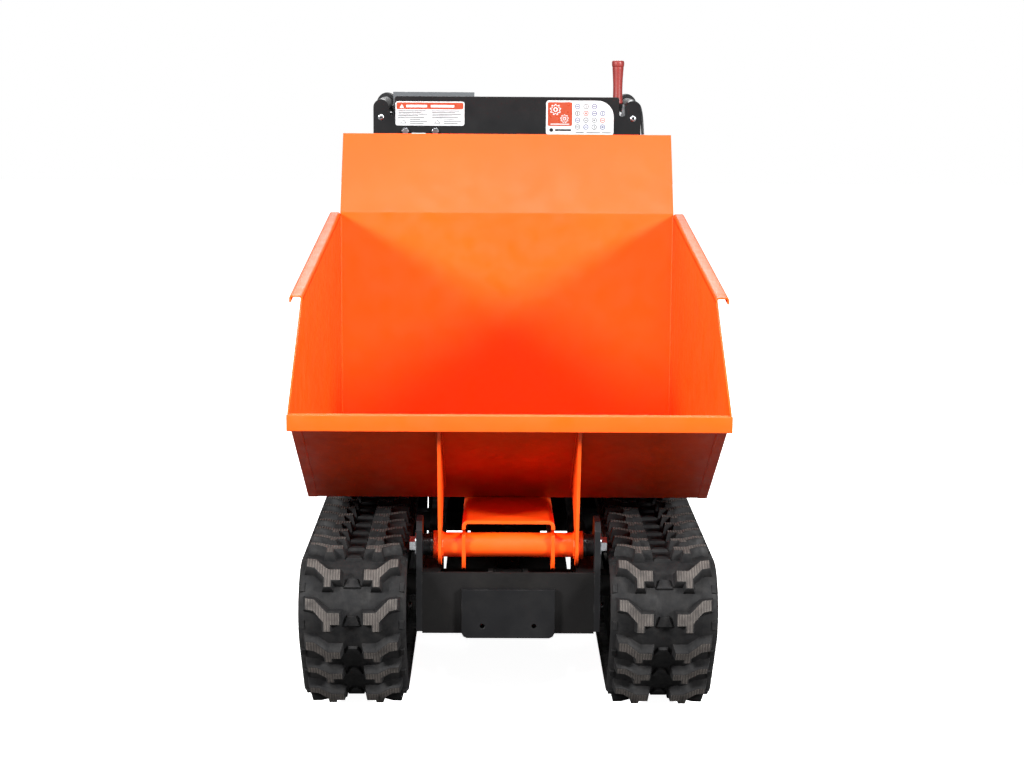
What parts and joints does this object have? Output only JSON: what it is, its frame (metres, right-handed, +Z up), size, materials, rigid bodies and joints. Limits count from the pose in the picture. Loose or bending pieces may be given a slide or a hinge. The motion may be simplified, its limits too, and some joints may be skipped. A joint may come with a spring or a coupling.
{
  "type": "power wheelbarrow",
  "caption": "Tracked mini dumper with a sheet-steel bucket that tips forward over a front pivot, engine and handles behind, driven by rubber belts.",
  "frame": {"origin": "centre of the footprint's bounding box, on the ground", "axes": "+Z up, -Y toward the bucket lip, +Y toward the grips, +X across the machine"},
  "size_m": [0.762, 1.656, 1.1],
  "materials": {
    "orange_paint": "gloss powder coat",
    "black_paint": "satin powder coat",
    "track_rubber": "matt moulded rubber",
    "belt_rubber": "matt",
    "grip_rubber": "ribbed, matt",
    "bright_zinc": "bright zinc plate",
    "bare_steel": "machined",
    "wheel_iron": "painted casting",
    "cast_alloy": "die cast",
    "red_cover": "red enamel",
    "tank_paint": "black enamel",
    "black_plastic": "fine grain",
    "muffler_steel": "heat tinted",
    "grey_paint": "satin",
    "red_grip": "soft moulded grip",
    "cable_sheath": "smooth sheath"
  },
  "bodies": {
    "chassis": {"chassis_frame": "black_paint", "engine_deck": "black_paint", "front_plate": "black_paint", "pivot_ears": "black_paint", "pivot_pin": "bare_steel", "pivot_washers": "bright_zinc", "pivot_bolts": "bright_zinc", "track_frames": "black_paint", "fixed_axles": "bare_steel", "track_belt_left": "track_rubber", "track_belt_right": "track_rubber", "hydraulic_power_pack": "black_paint", "engine_block": "cast_alloy", "recoil_cover": "red_cover", "fuel_tank": "tank_paint", "air_filter": "black_plastic", "muffler": "muffler_steel", "drive_belt": "belt_rubber", "belt_guard": "black_paint", "gearbox_case": "cast_alloy", "handlebars": "black_paint", "handle_grips": "grip_rubber", "lever_perches": "cast_alloy", "console_panel": "black_paint", "console_screws": "bright_zinc", "rear_panel": "grey_paint", "lever_bracket": "bright_zinc", "throttle_cable": "cable_sheath"},
    "bucket": {"bucket_floor": "orange_paint", "bucket_slope": "orange_paint", "bucket_back": "orange_paint", "bucket_side_left": "orange_paint", "bucket_side_right": "orange_paint", "bucket_ribs": "orange_paint", "bucket_channel": "orange_paint", "pivot_tube": "orange_paint", "cylinder_eye_pin": "bare_steel"},
    "tip_barrel": {"cylinder_barrel": "cast_alloy"},
    "tip_rod": {"cylinder_rod": "bare_steel"},
    "crank": {"crank_pulley": "bare_steel"},
    "gearbox_input": {"pinion_shaft": "bare_steel"},
    "gearbox_gear": {"main_gear": "bare_steel"},
    "gear_lever": {"gear_lever": "bare_steel", "gear_lever_grip": "red_grip"},
    "tip_lever": {"tip_lever": "black_plastic"},
    "throttle_lever": {"throttle_lever": "black_plastic"},
    "drive_lever": {"drive_lever": "black_paint"},
    "fuel_cap": {"fuel_cap": "black_plastic"},
    "sprocket_left": {"sprocket_left": "bare_steel"},
    "idler_left": {"idler_left": "wheel_iron"},
    "roller_left_a": {"roller_left_a": "wheel_iron"},
    "roller_left_b": {"roller_left_b": "wheel_iron"},
    "roller_left_c": {"roller_left_c": "wheel_iron"},
    "steering_lever_left": {"steering_lever_left": "black_paint"},
    "sprocket_right": {"sprocket_right": "bare_steel"},
    "idler_right": {"idler_right": "wheel_iron"},
    "roller_right_a": {"roller_right_a": "wheel_iron"},
    "roller_right_b": {"roller_right_b": "wheel_iron"},
    "roller_right_c": {"roller_right_c": "wheel_iron"},
    "steering_lever_right": {"steering_lever_right": "black_paint"}
  },
  "joints": [
    {"name": "bucket_tilt", "type": "hinge", "parent": "chassis", "child": "bucket", "pos_m": [0, -0.682, 0.28], "axis": [1, 0, 0], "range_deg": [0, 70]},
    {"name": "barrel_swing", "type": "hinge", "parent": "chassis", "child": "tip_barrel", "pos_m": [0, -0.642, 0.21], "axis": [1, 0, 0], "range_deg": [0, 66]},
    {"name": "rod_slide", "type": "slide", "parent": "tip_barrel", "child": "tip_rod", "axis": [0, 0.9712, 0.2384], "range_m": [0, 0.0895]},
    {"name": "sprocket_left_spin", "type": "hinge", "parent": "chassis", "child": "sprocket_left", "pos_m": [-0.26, 0.21915, 0.18761], "axis": [1, 0, 0], "continuous": true},
    {"name": "idler_left_spin", "type": "hinge", "parent": "chassis", "child": "idler_left", "pos_m": [-0.26, -0.718, 0.182], "axis": [1, 0, 0], "continuous": true},
    {"name": "roller_left_a_spin", "type": "hinge", "parent": "chassis", "child": "roller_left_a", "pos_m": [-0.26, -0.68193, 0.053], "axis": [1, 0, 0], "continuous": true},
    {"name": "roller_left_b_spin", "type": "hinge", "parent": "chassis", "child": "roller_left_b", "pos_m": [-0.26, -0.25517, 0.053], "axis": [1, 0, 0], "continuous": true},
    {"name": "roller_left_c_spin", "type": "hinge", "parent": "chassis", "child": "roller_left_c", "pos_m": [-0.26, 0.17159, 0.053], "axis": [1, 0, 0], "continuous": true},
    {"name": "steering_left_squeeze", "type": "hinge", "parent": "chassis", "child": "steering_lever_left", "pos_m": [-0.279, 0.675, 0.972], "axis": [1, 0, 0], "range_deg": [0, 10], "stiffness_Nm_per_rad": 1, "springref_deg": -11.46},
    {"name": "sprocket_right_spin", "type": "hinge", "parent": "chassis", "child": "sprocket_right", "pos_m": [0.26, 0.21915, 0.18761], "axis": [1, 0, 0], "continuous": true},
    {"name": "idler_right_spin", "type": "hinge", "parent": "chassis", "child": "idler_right", "pos_m": [0.26, -0.718, 0.182], "axis": [1, 0, 0], "continuous": true},
    {"name": "roller_right_a_spin", "type": "hinge", "parent": "chassis", "child": "roller_right_a", "pos_m": [0.26, -0.68193, 0.053], "axis": [1, 0, 0], "continuous": true},
    {"name": "roller_right_b_spin", "type": "hinge", "parent": "chassis", "child": "roller_right_b", "pos_m": [0.26, -0.25517, 0.053], "axis": [1, 0, 0], "continuous": true},
    {"name": "roller_right_c_spin", "type": "hinge", "parent": "chassis", "child": "roller_right_c", "pos_m": [0.26, 0.17159, 0.053], "axis": [1, 0, 0], "continuous": true},
    {"name": "steering_right_squeeze", "type": "hinge", "parent": "chassis", "child": "steering_lever_right", "pos_m": [0.279, 0.675, 0.972], "axis": [1, 0, 0], "range_deg": [0, 10], "stiffness_Nm_per_rad": 1, "springref_deg": -11.46},
    {"name": "drive_lever_squeeze", "type": "hinge", "parent": "chassis", "child": "drive_lever", "pos_m": [-0.251, 0.675, 1], "axis": [0, 0, -1], "range_deg": [-10, 0], "stiffness_Nm_per_rad": 1, "springref_deg": 11.46},
    {"name": "throttle_turn", "type": "hinge", "parent": "chassis", "child": "throttle_lever", "pos_m": [0.251, 0.675, 1], "axis": [0, 0, 1], "range_deg": [-20, 25]},
    {"name": "gear_select", "type": "hinge", "parent": "chassis", "child": "gear_lever", "pos_m": [0.249, 0.523, 0.918], "axis": [1, 0, 0], "range_deg": [-12, 12]},
    {"name": "tip_valve_swing", "type": "hinge", "parent": "chassis", "child": "tip_lever", "pos_m": [-0.255, 0.523, 0.918], "axis": [1, 0, 0], "range_deg": [-12, 12], "stiffness_Nm_per_rad": 0.6},
    {"name": "fuel_cap_turn", "type": "hinge", "parent": "chassis", "child": "fuel_cap", "pos_m": [-0.044, 0.393, 0.654], "axis": [0, 0, 1], "range_deg": [0, 90]},
    {"name": "crank_spin", "type": "hinge", "parent": "chassis", "child": "crank", "pos_m": [-0.092, 0.468, 0.406], "axis": [1, 0, 0], "continuous": true},
    {"name": "gearbox_input_spin", "type": "hinge", "parent": "chassis", "child": "gearbox_input", "pos_m": [-0.092, 0.25094, 0.23849], "axis": [1, 0, 0], "continuous": true},
    {"name": "gearbox_gear_spin", "type": "hinge", "parent": "chassis", "child": "gearbox_gear", "pos_m": [0, 0.21915, 0.18761], "axis": [1, 0, 0], "continuous": true}
  ],
  "couplings": [
    {"joint": "barrel_swing", "follows": "bucket_tilt", "ratio": 0.92156},
    {"joint": "rod_slide", "follows": "bucket_tilt", "m_per_rad": 0.072742},
    {"joint": "idler_left_spin", "follows": "sprocket_left_spin", "ratio": 0.93164},
    {"joint": "roller_left_a_spin", "follows": "sprocket_left_spin", "ratio": 2.4643},
    {"joint": "roller_left_b_spin", "follows": "sprocket_left_spin", "ratio": 2.4643},
    {"joint": "roller_left_c_spin", "follows": "sprocket_left_spin", "ratio": 2.4643},
    {"joint": "idler_right_spin", "follows": "sprocket_right_spin", "ratio": 0.93164},
    {"joint": "roller_right_a_spin", "follows": "sprocket_right_spin", "ratio": 2.4643},
    {"joint": "roller_right_b_spin", "follows": "sprocket_right_spin", "ratio": 2.4643},
    {"joint": "roller_right_c_spin", "follows": "sprocket_right_spin", "ratio": 2.4643},
    {"joint": "gearbox_input_spin", "follows": "crank_spin", "ratio": 0.90476},
    {"joint": "gearbox_gear_spin", "follows": "crank_spin", "ratio": -0.30159}
  ]
}
